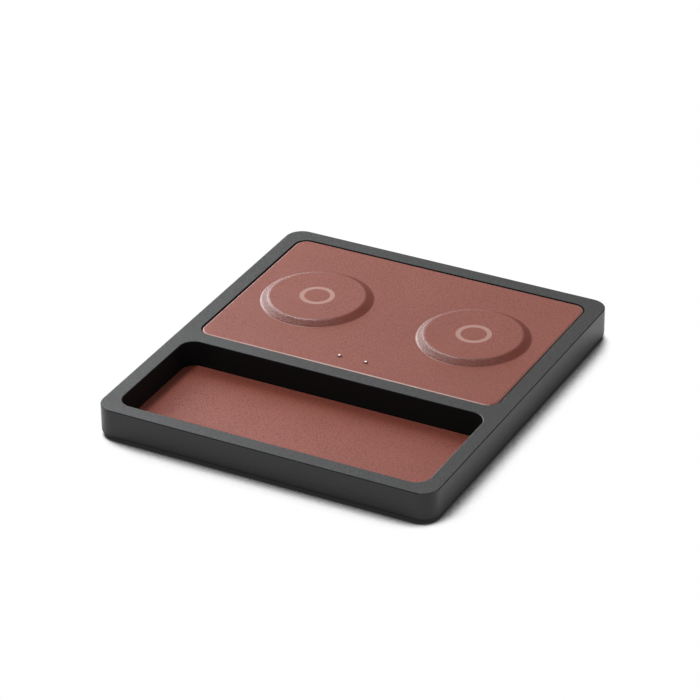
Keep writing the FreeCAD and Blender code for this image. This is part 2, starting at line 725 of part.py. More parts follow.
def make_coil(name, pad_x):
    """A flat coil: the strip between two spirals of half circles."""
    pitch, strand = value("dims.coil_pitch"), value("dims.coil_strand")

    def spiral(start_radius):
        edges = []
        for half in range(2 * COIL_TURNS):
            radius = start_radius + half * pitch / 2
            way = -1 if half % 2 else 1
            centre = V(0, (half % 2) * pitch / 2, 0)
            start, middle = V(0, way * radius, 0), V(-way * radius, 0, 0)
            edges.append(Part.Arc(centre + start, centre + middle, centre - start).toShape())
        return edges

    inner_edges = spiral(value("dims.coil_inner"))
    outer_edges = spiral(value("dims.coil_inner") + strand)
    first_end = Part.makeLine(inner_edges[0].firstVertex().Point, outer_edges[0].firstVertex().Point)
    last_end = Part.makeLine(inner_edges[-1].lastVertex().Point, outer_edges[-1].lastVertex().Point)
    outline = Part.Wire(Part.__sortEdges__([first_end, *outer_edges, last_end, *inner_edges]))
    coil = shaped(name, Part.Face(outline).extrude(V(0, 0, value("dims.coil_thickness"))))
    for axis, expression in zip("xyz", (pad_x, PAD_Y, COIL_BOTTOM)):
        coil.setExpression("Placement.Base." + axis, expression)
    return coil


def rounded_path(points, radius):
    """Straight runs joined by tangent arcs of one radius."""
    edges = []
    start = points[0]
    for before, corner, after in zip(points, points[1:], points[2:]):
        back, ahead = (before - corner).normalize(), (after - corner).normalize()
        half_angle = back.getAngle(ahead) / 2
        reach = radius / math.tan(half_angle)
        inset = radius / math.sin(half_angle) - radius
        first, last = corner + back * reach, corner + ahead * reach
        edges.append(Part.makeLine(start, first))
        edges.append(Part.Arc(first, corner + (back + ahead).normalize() * inset, last).toShape())
        start = last
    edges.append(Part.makeLine(start, points[-1]))
    return Part.Wire(edges)


def flat_lead(points, width, thickness, bend_radius):
    """A flat lead that starts straight down and keeps to one plane across X."""
    start = points[0]
    section = Part.makePolygon([
        start + V(side * width / 2, end * thickness / 2, 0)
        for side, end in ((-1, -1), (1, -1), (1, 1), (-1, 1), (-1, -1))
    ])
    return rounded_path(points, bend_radius).makePipeShell([section], True, True)


def make_coil_leads(name, pad_x):
    """The coil's two leads, down through the window and back to their connector."""
    width, thickness = value("dims.lead_width"), value("dims.lead_thickness")
    gap, bend = value("dims.lead_gap"), value("dims.lead_bend_radius")
    inner_end = value("dims.coil_inner + dims.coil_strand / 2")
    outer_end = inner_end + value("dims.coil_pitch") * COIL_TURNS
    connector_y, connector_z = value(BOARD_FRONT), value(CONNECTOR_ENTRY)
    leads = []
    for way, reach in ((-1, inner_end), (1, outer_end)):
        x, y = value(pad_x) + way * (width + gap) / 2, value(PAD_Y) + reach
        points = [V(x, y, value(COIL_BOTTOM)), V(x, y, connector_z), V(x, connector_y, connector_z)]
        leads.append(flat_lead(points, width, thickness, bend))
    return shaped(name, Part.makeCompound(leads))


# ---------------------------------------------------------------- electronics

def make_main_board():
    """The circuit board on its posts, with a tongue that carries the power socket."""
    board = new_body("main_board")
    outline = add_sketch(board, "board_outline", offset=("0", BOARD_Y, BOARD_BOTTOM))
    half_width, half_depth = "dims.board_width / 2", "dims.board_depth / 2"
    tongue = "dims.tongue_width / 2"
    tip = total(PORT_FACE_Y, minus(BOARD_Y), "-0.4")
    polygon(outline, [
        (minus(half_width), minus(half_depth)), (half_width, minus(half_depth)), (half_width, half_depth),
        (tongue, half_depth), (tongue, tip), (minus(tongue), tip), (minus(tongue), half_depth),
        (minus(half_width), half_depth),
    ])
    pad(board, outline, "dims.board_thickness")
    cut_holes(board, "board_holes", BOARD_BOTTOM, "dims.board_thickness", "dims.screw_diameter + 0.2",
              BOARD_SCREWS)
    return board


def make_components(name, places, height, bottom=BOARD_TOP):
    """Rectangular components that share a node: x, y, width and depth of each."""
    body = new_body(name)
    outlines = add_sketch(body, name + "_outlines", offset=("0", "0", bottom))
    for x, y, width, depth in places:
        rectangle(outlines, width, depth, x, y)
    pad(body, outlines, height)
    return body


def make_socket():
    """The power socket: a round-cornered metal shell with a contact tongue inside."""
    socket = new_body("power_socket")
    front = total(PORT_FACE_Y, "-dims.socket_setback")
    shell = add_sketch(socket, "socket_shell", plane="XZ_Plane", offset=("0", PORT_Z, minus(front)))
    rounded_rectangle(shell, "dims.socket_width", "dims.socket_height", "dims.socket_height * 0.4")
    pad(socket, shell, "dims.socket_depth")
    mouth = add_sketch(socket, "socket_mouth", plane="XZ_Plane", offset=("0", PORT_Z, minus(front)))
    rounded_rectangle(mouth, "dims.socket_width - 2 * dims.socket_wall",
                      "dims.socket_height - 2 * dims.socket_wall",
                      "dims.socket_height * 0.4 - dims.socket_wall")
    pocket(socket, mouth, "dims.socket_depth - dims.socket_back")
    tip = total(front, "-dims.socket_depth", "dims.socket_back", "dims.socket_tongue_length")
    tongue = add_sketch(socket, "socket_tongue", plane="XZ_Plane", offset=("0", PORT_Z, minus(tip)))
    rectangle(tongue, "dims.socket_tongue_width", "dims.socket_tongue_thickness")
    pad(socket, tongue, "dims.socket_tongue_length")
    return socket


def make_light_board():
    """The small board under the panel that carries the two indicator lights."""
    board = plate("light_board", "dims.light_board_width", "dims.light_board_depth", "1",
                  LIGHT_BOARD_BOTTOM, "dims.light_board_thickness", y=LIGHT_Y)
    cut_holes(board, "light_board_holes", LIGHT_BOARD_BOTTOM, "dims.light_board_thickness",
              "dims.light_post_diameter / 2 + 0.1", LIGHT_POSTS)
    return board


def make_light_ribbon():
    """The flat lead from the light board down to the base and back to the main board."""
    thickness = value("dims.ribbon_thickness")
    floor = value(BASE_TOP) + thickness / 2
    light_y, board_y, entry = value(LIGHT_Y), value(BOARD_FRONT), value(CONNECTOR_ENTRY)
    points = [
        V(0, light_y, value(LIGHT_BOARD_BOTTOM)),
        V(0, light_y, floor),
        V(0, board_y - 12, floor),
        V(0, board_y - 6, entry),
        V(0, board_y, entry),
    ]
    lead = flat_lead(points, value("dims.ribbon_width"), thickness, value("dims.ribbon_bend_radius"))
    return shaped("light_ribbon", lead)


def make_board_screws():
    """Small pan-head screws, driven down through the main board into its posts."""
    screw = new_body("board_screw")
    profile = add_sketch(screw, "board_screw_profile", "XZ_Plane")
    head, shank = "dims.screw_head / 2", "dims.screw_diameter / 2"
    polygon(profile, [("0", "-dims.screw_length"), (shank, "-dims.screw_length"), (shank, "0"),
                      (head, "0"), (head, "dims.screw_head_height"), ("0", "dims.screw_head_height")])
    turn(screw, profile)
    return group("board_screws", screw, [(x, y, BOARD_TOP) for x, y in BOARD_SCREWS])


# ---------------------------------------------------------------- assembly

def main_board_parts():
    board_edge = total(BOARD_FRONT, "dims.connector_depth / 2")
    connectors = [
        (x, board_edge, "dims.connector_width", "dims.connector_depth") for x in (*PADS.values(), "0")
    ]
    chips = [(f"{x}", f"{BOARD_Y} + {y}", size, size) for x, y, size in (
        ("0", "4", "5"), ("-20", "1", "6"), ("20", "1", "6"))]
    chokes = [
        (x, f"{BOARD_Y} + 2", "dims.choke_size", "dims.choke_size") for x in ("-11", "11", "-32", "32")
    ]
    capacitors = [
        (f"{side} * {40 + 4 * column}", f"{BOARD_Y} + {row}", "dims.capacitor_width",
         "dims.capacitor_depth")
        for side in (LEFT, RIGHT)
        for row in ("-2", "3")
        for column in range(2)
    ]
    return [
        make_main_board(),
        make_socket(),
        make_components("lead_connectors", connectors, "dims.connector_height"),
        make_components("controller_chips", chips, "dims.chip_height"),
        make_components("power_chokes", chokes, "dims.choke_height"),
        make_components("resonant_capacitors", capacitors, "dims.capacitor_height"),
        make_board_screws(),
    ]


def panel_parts():
    parts = [make_leather(), make_substrate(), make_tape()]
    parts += [make_light_pipe(f"light_pipe_{word}", place) for word, place in zip(PADS, LIGHTS)]
    indicators = [(x, y, "dims.indicator_size", "dims.indicator_size") for x, y in LIGHTS]
    parts += [
        make_light_board(),
        make_components("indicator_lights", indicators, "dims.indicator_height", LIGHT_BOARD_TOP),
        make_light_ribbon(),
    ]
    return parts


def puck_parts():
    makers = {
        "puck_cap": make_cap,
        "puck_carrier": make_carrier,
        "puck_magnets": make_magnets,
        "puck_yoke": make_yoke,
        "puck_ferrite": make_ferrite,
        "puck_coil": make_coil,
        "coil_leads": make_coil_leads,
    }
    return [make(f"{name}_{word}", pad_x) for word, pad_x in PADS.items() for name, make in makers.items()]


def underside_parts():
    feet = [make_foot(f"rubber_foot_{name}", place) for name, place in FEET.items()]
    return [make_base_plate(), make_base_screws(), *feet]


def check(parts):
    """Stops if any object failed to build or any piece has no sound shape."""
    failed = [item.Label for item in doc.Objects if {"Invalid", "Error"} & set(item.State)]
    failed += [part.Label for part in parts if part.Shape.isNull() or not part.Shape.isValid()]
    if failed:
        raise RuntimeError("not sound: " + ", ".join(failed))


def write(parts):
    os.makedirs("parts", exist_ok=True)
    for part in parts:
        part.Shape.exportStep(f"parts/{part.Label}.step")
        print(f"{part.Label}: {len(part.Shape.Solids)} solids, {part.Shape.Volume:.1f} mm3")


sub_parts = [make_frame(), *underside_parts(), *make_lining(), *panel_parts(), *puck_parts(),
             *main_board_parts()]
doc.recompute()
check(sub_parts)
write(sub_parts)
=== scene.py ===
import bmesh
import bpy
import json
import math
from mathutils import Matrix, Vector


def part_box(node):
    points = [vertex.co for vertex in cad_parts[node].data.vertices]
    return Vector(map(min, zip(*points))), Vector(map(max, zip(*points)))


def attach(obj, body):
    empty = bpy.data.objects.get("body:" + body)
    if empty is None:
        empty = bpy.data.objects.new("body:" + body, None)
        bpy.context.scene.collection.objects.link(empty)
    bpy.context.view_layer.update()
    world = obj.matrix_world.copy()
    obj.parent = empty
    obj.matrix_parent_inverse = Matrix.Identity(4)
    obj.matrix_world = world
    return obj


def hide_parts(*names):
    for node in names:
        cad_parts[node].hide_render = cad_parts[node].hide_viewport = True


# A wireless charging tray: dark grey frame, leather-lined pocket in front, and behind it
# a leather charging panel that is drawn over two round pucks. Metres, +Z up.

MM = 0.001
CLOSE = 0.001 * MM
SIDES = ("left", "right")

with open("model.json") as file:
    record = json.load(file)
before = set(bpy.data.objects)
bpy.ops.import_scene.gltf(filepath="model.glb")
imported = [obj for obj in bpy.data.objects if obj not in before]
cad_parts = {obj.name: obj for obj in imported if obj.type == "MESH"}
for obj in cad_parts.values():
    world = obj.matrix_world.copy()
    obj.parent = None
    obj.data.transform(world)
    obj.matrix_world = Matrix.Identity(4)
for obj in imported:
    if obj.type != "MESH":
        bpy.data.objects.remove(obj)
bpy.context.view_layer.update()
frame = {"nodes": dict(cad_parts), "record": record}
PANEL_LOW, PANEL_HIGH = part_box("panel_leather")
LINER_LOW, LINER_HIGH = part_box("liner_leather")
FRAME_LOW, FRAME_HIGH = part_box("tray_frame")


def middle_of(node):
    """The middle of a CAD node's box, in plan."""
    low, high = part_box(node)
    return ((low + high) / 2).to_2d()


# the corners, pads and lights, as the CAD has them
PANEL_RADIUS = 7.0 * MM
LINER_RADIUS = 8.35 * MM
POCKET_GAP = 0.15 * MM
RECESS_GAP = 0.9 * MM
PAD_BASE_RADIUS = 31.7 * MM
PAD_TOP_RADIUS = 27.3 * MM
PAD_RISE = 2.45 * MM
PAD_CENTRES = [middle_of(f"puck_cap_{side}") for side in SIDES]
PANEL_TOP = PANEL_HIGH.z - PAD_RISE
LIGHT_CENTRES = [middle_of(f"light_pipe_{side}") for side in SIDES]
LIGHT_RADIUS = 1.25 * MM

# the skin's outline, a little fuller than the board under it
SKIN_LOW = PANEL_LOW - Vector((0.4, 0.6, 0)) * MM
SKIN_HIGH = PANEL_HIGH + Vector((0.4, 0.4, 0)) * MM


# ---------------------------------------------------------------- shader nodes

class Signal:
    """A shader value on which Python arithmetic adds Math nodes."""

    def __init__(self, nodes, socket):
        self.nodes = nodes
        self.socket = socket

    def math(self, operation, *others):
        inputs = dict(enumerate((self, *others)))
        return self.nodes.signal("ShaderNodeMath", 0, {"operation": operation}, inputs)

    def __add__(self, other):
        return self.math("ADD", other)

    __radd__ = __add__

    def __sub__(self, other):
        return self.math("SUBTRACT", other)

    def __rsub__(self, other):
        return (self * -1) + other

    def __mul__(self, other):
        return self.math("MULTIPLY", other)

    __rmul__ = __mul__

    def __pow__(self, other):
        return self.math("POWER", other)

    def step(self, low, high):
        """0 below low, 1 above high, smooth between."""
        inputs = {"Value": self, "From Min": low, "From Max": high}
        return self.nodes.signal("ShaderNodeMapRange", 0, {"interpolation_type": "SMOOTHSTEP"}, inputs)

    def near(self, centre, inner, outer):
        """1 within inner of a centre, 0 beyond outer, smooth between."""
        return 1 - (self - centre).math("ABSOLUTE").step(inner, outer)


class Nodes:
    """A node tree, and the one way in which nodes are added to it."""

    def __init__(self, tree):
        self.tree = tree

    def node(self, kind, settings=None, inputs=None):
        """A new node, with its settings set before its sockets are fed."""
        node = self.tree.nodes.new(kind)
        for key, value in (settings or {}).items():
            setattr(node, key, value)
        for key, value in (inputs or {}).items():
            self.feed(node.inputs[key], value)
        return node

    def signal(self, kind, output, settings=None, inputs=None):
        """One output of a new node, ready for arithmetic."""
        return Signal(self, self.node(kind, settings, inputs).outputs[output])

    def feed(self, socket, value):
        """Links a signal or an output to a socket, or sets the socket to a plain value."""
        if isinstance(value, Signal):
            self.tree.links.new(value.socket, socket)
        elif isinstance(value, bpy.types.NodeSocket):
            self.tree.links.new(value, socket)
        else:
            socket.default_value = value

    def rays(self, *kinds):
        """1 on rays of any of these kinds, 0 on others."""
        path = self.node("ShaderNodeLightPath").outputs
        found = 0
        for kind in kinds:
            found = found + Signal(self, path[kind])
        return found.math("MINIMUM", 1.0)


class Finish(Nodes):
    """A material with one Principled surface, and the nodes that vary it."""

    def __init__(self, name, **constants):
        self.material = bpy.data.materials.new(name)
        self.material.use_nodes = True
        super().__init__(self.material.node_tree)
        self.surface = self.tree.nodes["Principled BSDF"]
        self.set(**constants)
        self.place = self.node("ShaderNodeTexCoord").outputs["Object"]

    def set(self, **values):
        """Feeds sockets of the surface, whose spaces are written as underscores."""
        for socket, value in values.items():
            self.feed(self.surface.inputs[socket.replace("_", " ")], value)

    def noise(self, size, detail=2.0, place=None):
        """Soft noise with blotches of about a size."""
        inputs = {"Vector": place or self.place, "Scale": 1 / size, "Detail": detail}
        return self.signal("ShaderNodeTexNoise", "Fac", None, inputs)

    def cells(self, size):
        """Distance from the middle of the nearest of many grains of about a size."""
        inputs = {"Vector": self.place, "Scale": 1 / size}
        return self.signal("ShaderNodeTexVoronoi", "Distance", {"feature": "F1"}, inputs)

    def mixed(self, factor, first, second):
        """A colour between two colours."""
        node = self.node("ShaderNodeMix", {"data_type": "RGBA"}, {0: factor, 6: first, 7: second})
        return node.outputs[2]

    def blended(self, factor, first, second):
        """A shader between two shaders."""
        inputs = {0: factor, 1: first.outputs[0], 2: second.outputs[0]}
        return self.node("ShaderNodeMixShader", None, inputs)

    def show(self, shader):
        """Makes a shader the whole surface."""
        self.feed(self.tree.nodes["Material Output"].inputs["Surface"], shader.outputs[0])

    def dull(self, share, shade):
        """Covers a share of the surface with a plain matte one."""
        matte = self.node("ShaderNodeBsdfDiffuse", None, {"Color": shade})
        self.show(self.blended(share, self.surface, matte))

    def bump(self, height, distance, strength=1.0, edge_radius=0.0):
        """A raised texture, on edges that look rounded to a radius."""
        inputs = {"Height": height, "Distance": distance, "Strength": strength}
        if edge_radius:
            rounded = self.node("ShaderNodeBevel", {"samples": 8}, {"Radius": edge_radius})
            inputs["Normal"] = rounded.outputs["Normal"]
        self.set(Normal=self.node("ShaderNodeBump", None, inputs).outputs["Normal"])

    def openness(self, reach, lean=None):
        """Share of the sky within reach of a point that is open, about its own normal or a
        leaning one."""
        inputs = {"Distance": reach}
        if lean:
            leaning = self.node("ShaderNodeCombineXYZ", None, dict(enumerate(lean.normalized())))
            inputs["Normal"] = leaning.outputs[0]
        return self.signal("ShaderNodeAmbientOcclusion", "AO", {"samples": 16}, inputs)

    def vector(self, operation, *values):
        """One Vector Math node: its vector, or its value where the result is a number."""
        node = self.node("ShaderNodeVectorMath", {"operation": operation}, dict(enumerate(values)))
        if operation in ("LENGTH", "DOT_PRODUCT"):
            return Signal(self, node.outputs["Value"])
        return node.outputs["Vector"]

    def axis(self, name):
        """One coordinate of the place."""
        return self.signal("ShaderNodeSeparateXYZ", name, None, {0: self.place})

    def within(self, centre, half):
        """1 inside an upright box about a centre, 0 outside."""
        size = self.vector("ABSOLUTE", self.vector("SUBTRACT", self.place, centre))
        parts = self.node("ShaderNodeSeparateXYZ", None, {0: size}).outputs
        inside = [Signal(self, part).math("LESS_THAN", limit) for part, limit in zip(parts, half)]
        return inside[0] * inside[1] * inside[2]

    def outside(self, low, high, radius):
        """Distance outward, in plan, from a box with round upright corners."""
        size = self.vector("ABSOLUTE", self.vector("SUBTRACT", self.place, (low + high) / 2))
        core = (high - low) / 2 - Vector((radius, radius, 0))
        past = self.vector("MAXIMUM", self.vector("SUBTRACT", size, core), (0, 0, 0))
        return self.vector("LENGTH", self.vector("MULTIPLY", past, (1, 1, 0))) - radius

    def away_from(self, centre):
        """The way in plan from the upright line through a centre."""
        away = self.vector("SUBTRACT", self.place, (centre.x, centre.y, 0))
        return self.vector("MULTIPLY", away, (1, 1, 0))

    def distance_to(self, centre):
        """Distance from the upright line through a centre."""
        return self.vector("LENGTH", self.away_from(centre))

    def toward(self, centre, angle):
        """How far round from a centre, in plan: 1 in one direction, -1 in the opposite one."""
        direction = (math.cos(math.radians(angle)), math.sin(math.radians(angle)), 0)
        return self.vector("DOT_PRODUCT", self.vector("NORMALIZE", self.away_from(centre)), direction)


def colour(red, green, blue):
    return (red, green, blue, 1.0)


def grey(level):
    return colour(level, level, level)


# ---------------------------------------------------------------- finishes

PANEL_COLOUR = colour(0.290, 0.069, 0.041)
# the liner is the panel's leather, painted lighter to stand in for more light in the pocket
LINER_PAINTED_LIGHT_COLOUR = colour(0.335, 0.083, 0.053)
LEATHER_DARK = colour(0.120, 0.026, 0.016)
LEATHER_DULL = colour(0.290, 0.082, 0.056)
# the paler colour of the turned edge, used most at the front as a painted highlight
LEATHER_EDGE_AND_HIGHLIGHT = colour(0.620, 0.360, 0.300)
LEATHER_PRINT = colour(0.470, 0.245, 0.200)
PEBBLE_SIZE = 0.85 * MM
FINE_GRAIN_SIZE = 0.5 * MM
MOTTLE_SIZE = 30 * MM
GRAIN_DEPTH = 0.1 * MM

# where the painted highlight on the leather's front edge is strongest: half the size of a long, thin box
FRONT_HIGHLIGHT_HALF = Vector((200, 1.6, 1.2)) * MM

# the plain ring printed on each pad, and the pad's flank with its matte side, in degrees from +X
RING_RADIUS = 8.6 * MM
RING_WIDTH = 2.6 * MM
FLANK_RADIUS = (PAD_TOP_RADIUS + PAD_BASE_RADIUS) / 2
MATTE_SIDE = 38


def leather(name, top, front, shade, contrast, ring_centres=()):
    """Fine pebble-grain leather, paler along its turned edge and most at the front, where the extra paleness
    is a painted highlight. About each centre it has a plain printed ring and a pad's flank, which is darker,
    and matte on one side to take its sheen off as painted shade."""
    finish = Finish(name, Specular_IOR_Level=0.39)
    pebbles = finish.cells(PEBBLE_SIZE)
    fine = finish.cells(FINE_GRAIN_SIZE)
    mottle = finish.noise(MOTTLE_SIZE, detail=3)
    valleys = pebbles.step(0.3, 0.75)
    depth = top - finish.axis("Z")
    base = finish.mixed(valleys * contrast + mottle.step(0.35, 0.7) * 0.08, shade, LEATHER_DARK)
    # the turned edge is a little paler all round, and much paler at the front as a painted highlight
    at_front = finish.within(Vector((0, front, top)), FRONT_HIGHLIGHT_HALF)
    pale_edge_and_highlight = depth.step(0.03 * MM, 0.12 * MM)
    base = finish.mixed(pale_edge_and_highlight * (at_front * 0.8 + 0.2), base, LEATHER_EDGE_AND_HIGHLIGHT)
    crease, slope, matte_shade = depth.step(0.003 * MM, 0.04 * MM), 0, 0
    for centre in ring_centres:
        radius = finish.distance_to(centre)
        printed = radius.near(RING_RADIUS, RING_WIDTH / 2, RING_WIDTH / 2 + 0.1 * MM)
        base = finish.mixed(printed, base, LEATHER_PRINT)
        flank = radius.near(FLANK_RADIUS, 1.4 * MM, 2.4 * MM)
        base = finish.mixed(flank * (valleys * 0.5 + 0.3), base, LEATHER_DARK)
        slope = slope + flank
        whole_flank = radius.near(FLANK_RADIUS, 2.1 * MM, 3.0 * MM)
        # painted shade: the flank's right and rear sides are made matte, which takes their sheen off and
        # darkens them
        matte_shade = matte_shade + whole_flank * finish.toward(centre, MATTE_SIDE).step(0.05, 0.7)
        for bend in (PAD_TOP_RADIUS, PAD_BASE_RADIUS):
            crease = crease + radius.near(bend, 0.4 * MM, 1.0 * MM)
    roughness = 0.47 + mottle * 0.06 + valleys * 0.12 - crease * 0.30 - slope * 0.14
    finish.set(Base_Color=base, Roughness=roughness)
    relief = (1 - pebbles * 0.7 - fine * 0.3) * (1 - crease * 0.9 + slope * 1.8)
    finish.bump(relief, GRAIN_DEPTH, 0.8)
    if ring_centres:
        finish.dull(matte_shade * 0.72, LEATHER_DULL)
    return finish.material


# the frame's coat: its grain, where its outer edge starts, and where the pocket's right rim starts
COAT_GRAIN_SIZE = 0.7 * MM
COAT_WEAR_SIZE = 18 * MM
COAT_GRAIN_DEPTH = 0.2 * MM
COAT_EDGE_RADIUS = 0.8 * MM
OUTER_EDGE_WIDTH = 0.4 * MM
RIGHT_RIM_START = LINER_HIGH.x - 8 * MM
RIGHT_RIM_FULL = LINER_HIGH.x - 5 * MM


def matte_coat(name, shade, fleck_shade, painted_shade_colour):
    """A dark matte coat with a very fine blasted texture, smoother on the outer sides and the pocket's right
    rim. The walls of the pocket and the recess carry painted shade, and the outer edge a painted dark
    reflection."""
    finish = Finish(name, Specular_IOR_Level=0.34, Coat_Roughness=0.25)
    grain = finish.noise(COAT_GRAIN_SIZE, detail=4)
    wear = finish.noise(COAT_WEAR_SIZE, detail=4)
    depth = FRAME_HIGH.z - finish.axis("Z")
    from_pocket = finish.outside(LINER_LOW, LINER_HIGH, LINER_RADIUS) - POCKET_GAP
    from_recess = finish.outside(PANEL_LOW, PANEL_HIGH, PANEL_RADIUS) - RECESS_GAP

    at_right = finish.axis("X").step(RIGHT_RIM_START, RIGHT_RIM_FULL)
    at_lip = from_pocket.near(0.2 * MM, 0.25 * MM, 0.4 * MM) * (1 - depth.step(0.2 * MM, 0.25 * MM))
    rim = at_right * at_lip
    walls = (1 - from_pocket.step(0.1 * MM, 0.2 * MM)) * (1 - rim)
    walls = walls.math("MAXIMUM", 1 - from_recess.step(0.2 * MM, 0.3 * MM))
    # the box inside the outer edge reaches past the frame in height, where depth sets the limit
    inner_half = (FRAME_HIGH - FRAME_LOW) / 2 - Vector((OUTER_EDGE_WIDTH, OUTER_EDGE_WIDTH, 0))
    inner_half.z = FRAME_HIGH.z
    inner = finish.within((FRAME_LOW + FRAME_HIGH) / 2, inner_half)
    outer_edge = (1 - inner) * (1 - depth.step(0.35 * MM, 0.45 * MM))
    # painted shade on the walls of the pocket and the recess, and a painted dark reflection on the outer
    # edge: a darker, partly metallic colour there
    dark = walls.math("MAXIMUM", outer_edge)
    side = depth.step(0.1 * MM, 0.5 * MM) * (1 - dark) * (1 - rim)

    flecks = grain.step(0.5, 0.68) * (1 - side) + side * 0.3
    base = finish.mixed(flecks, shade, fleck_shade)
    finish.set(Base_Color=finish.mixed(dark, base, painted_shade_colour), Metallic=dark * 0.7)
    finish.set(Roughness=0.43 + wear * 0.05 + grain * 0.12 - side * 0.2 + walls * 0.15 - rim * 0.33)
    finish.set(Coat_Weight=side * 0.15)
    finish.bump(grain, COAT_GRAIN_DEPTH, edge_radius=COAT_EDGE_RADIUS)
    return finish.material


def moulded(name, shade, roughness=0.55):
    """Moulded plastic, rubber or pressed board with a fine texture."""
    finish = Finish(name, Base_Color=shade)
    grain = finish.noise(0.3 * MM, detail=3)
    finish.set(Roughness=roughness - 0.05 + grain * 0.1)
    finish.bump(grain, 0.02 * MM, 0.5)
    return finish.material


def metal(name, shade, roughness=0.3):
    """Bare or plated metal with faint streaks."""
    finish = Finish(name, Base_Color=shade, Metallic=1.0)
    stretched = finish.node("ShaderNodeMapping", None, {"Vector": finish.place, "Scale": (1, 12, 12)})
    streaks = finish.noise(1.2 * MM, detail=3, place=stretched.outputs[0])
    finish.set(Roughness=roughness - 0.06 + streaks * 0.12)
    finish.bump(streaks, 0.005 * MM, 0.4)
    return finish.material


# colour of the glow at the middle of each pin, partly a lit indicator and partly a painted highlight
GLOW_HIGHLIGHT_COLOUR = colour(1.0, 0.94, 0.90)


def clear_acrylic(name, shade, glow_centres):
    """Polished acrylic with a trace of haze, tinted leather-brown as a painted reflection of the leather
    round it, and glowing at the middle of each pin, partly as a lit indicator and partly as a painted
    highlight.
    """
    finish = Finish(name, Base_Color=shade, IOR=1.49, Emission_Strength=1.6)
    haze = finish.noise(0.6 * MM)
    # the glow at the middle of each pin is partly a lit indicator and partly a painted highlight
    lit = 0
    for centre in glow_centres:
        lit = lit + finish.distance_to(centre).near(0, 0.35 * MM, 0.65 * MM)
    finish.set(Roughness=0.12 + haze * 0.04)
    finish.set(Emission_Color=finish.mixed(lit, grey(0), GLOW_HIGHLIGHT_COLOUR))
    return finish.material


def make_finishes():
    """One material for each material slot of the record."""
    return {
        # the frame's coat: its colour, its flecks, and the painted shade on its walls and outer edge
        "frame_metal": matte_coat("frame_coat", grey(0.004), grey(0.050), grey(0.002)),
        "base_plastic": moulded("base_plastic", colour(0.085, 0.085, 0.088)),
        "foot_rubber": moulded("foot_rubber", colour(0.035, 0.035, 0.036), roughness=0.8),
        "board_fibre": moulded("board_fibre", colour(0.28, 0.24, 0.20), roughness=0.8),
        "inner_plastic": moulded("inner_plastic", colour(0.08, 0.08, 0.082)),
        "adhesive_tape": moulded("adhesive_tape", grey(0.04), roughness=0.8),
        "circuit_board": moulded("solder_mask", colour(0.01, 0.10, 0.04), roughness=0.3),
        "component_black": moulded("epoxy", grey(0.02)),
        "connector_plastic": moulded("nylon", colour(0.62, 0.58, 0.50), roughness=0.45),
        "ferrite": moulded("ferrite", colour(0.05, 0.045, 0.045), roughness=0.7),
        "lead_jacket": moulded("lead_jacket", colour(0.50, 0.25, 0.12), roughness=0.5),
        "screw_steel": metal("zinc_plate", colour(0.42, 0.42, 0.43)),
        "socket_steel": metal("socket_steel", colour(0.50, 0.50, 0.51), roughness=0.25),
        "yoke_steel": metal("yoke_steel", colour(0.40, 0.40, 0.42), roughness=0.4),
        "magnet_nickel": metal("nickel", colour(0.60, 0.58, 0.54), roughness=0.2),
        "coil_copper": metal("copper", colour(0.75, 0.36, 0.22)),
        # the acrylic's leather-brown tint is a painted reflection of the leather round the pins
        "clear_plastic": clear_acrylic("clear_acrylic", colour(0.20, 0.06, 0.04), LIGHT_CENTRES),
        "leather": leather("liner_leather", LINER_HIGH.z, LINER_LOW.y, LINER_PAINTED_LIGHT_COLOUR, 0.4),
    }


# ---------------------------------------------------------------- mesh helpers

FLAT_NORMAL = 0.9999
CORNER_STEPS = 12


def add_piece(name, bm, material, replaces=(), smooth=True):
    """Turns a bmesh into a piece of the tray that rides on its one body. Level faces stay flat."""
    mesh = bpy.data.meshes.new(name)
    for face in bm.faces:
        face.smooth = smooth and abs(face.normal.z) < FLAT_NORMAL
    bm.to_mesh(mesh)
    bm.free()
    piece = bpy.data.objects.new(name, mesh)
    bpy.context.collection.objects.link(piece)
    mesh.materials.append(material)
    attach(piece, "root")
    if replaces:
        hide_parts(*replaces)
    return piece


def only(kind, made):
    """The verts or edges among what an operator made."""
    return [item for item in made["geom"] if isinstance(item, kind)]


def add_rounded_outline(bm, low, high, radius, level):
    """The edges of a rectangle with round corners."""
    verts = bmesh.ops.create_grid(bm, x_segments=1, y_segments=1, size=0.5)["verts"]
    bmesh.ops.scale(bm, vec=(high.x - low.x, high.y - low.y, 1), verts=verts)
    centre = (low + high) / 2
    bmesh.ops.translate(bm, vec=(centre.x, centre.y, level), verts=verts)
    bmesh.ops.bevel(bm, geom=verts, offset=radius, segments=CORNER_STEPS, profile=0.5,
                    affect="VERTICES", material=-1)
    face = next(face for face in bm.faces if is_level(face, level) and len(face.verts) > 4)
    edges = list(face.edges)
    bmesh.ops.delete(bm, geom=[face], context="FACES_ONLY")
    return edges


def is_level(face, level):
    return all(abs(vert.co.z - level) < CLOSE for vert in face.verts)


def add_ring(bm, centre, radius, level, steps):
    """The edges of a circle."""
    place = Matrix.Translation((centre.x, centre.y, level))
    made = bmesh.ops.create_circle(bm, segments=steps, radius=radius, matrix=place)
    return list({edge for vert in made["verts"] for edge in vert.link_edges})


def extrude_rings(bm, edges, centre, stations, lobes=0, lobe_share=0.0):
    """Draws a circle of edges through stations of radius and height; returns the last circle.
    With lobes, the circle is waved that many times by a share of its radius."""
    for radius, level in stations:
        made = bmesh.ops.extrude_edge_only(bm, edges=edges)
        edges = only(bmesh.types.BMEdge, made)
        for vert in only(bmesh.types.BMVert, made):
            outward = (vert.co.to_2d() - centre).normalized()
            wave = math.cos(lobes * math.atan2(outward.y, outward.x))
            outward *= radius * (1 + lobe_share * wave)
            vert.co = (centre.x + outward.x, centre.y + outward.y, level)
    return edges


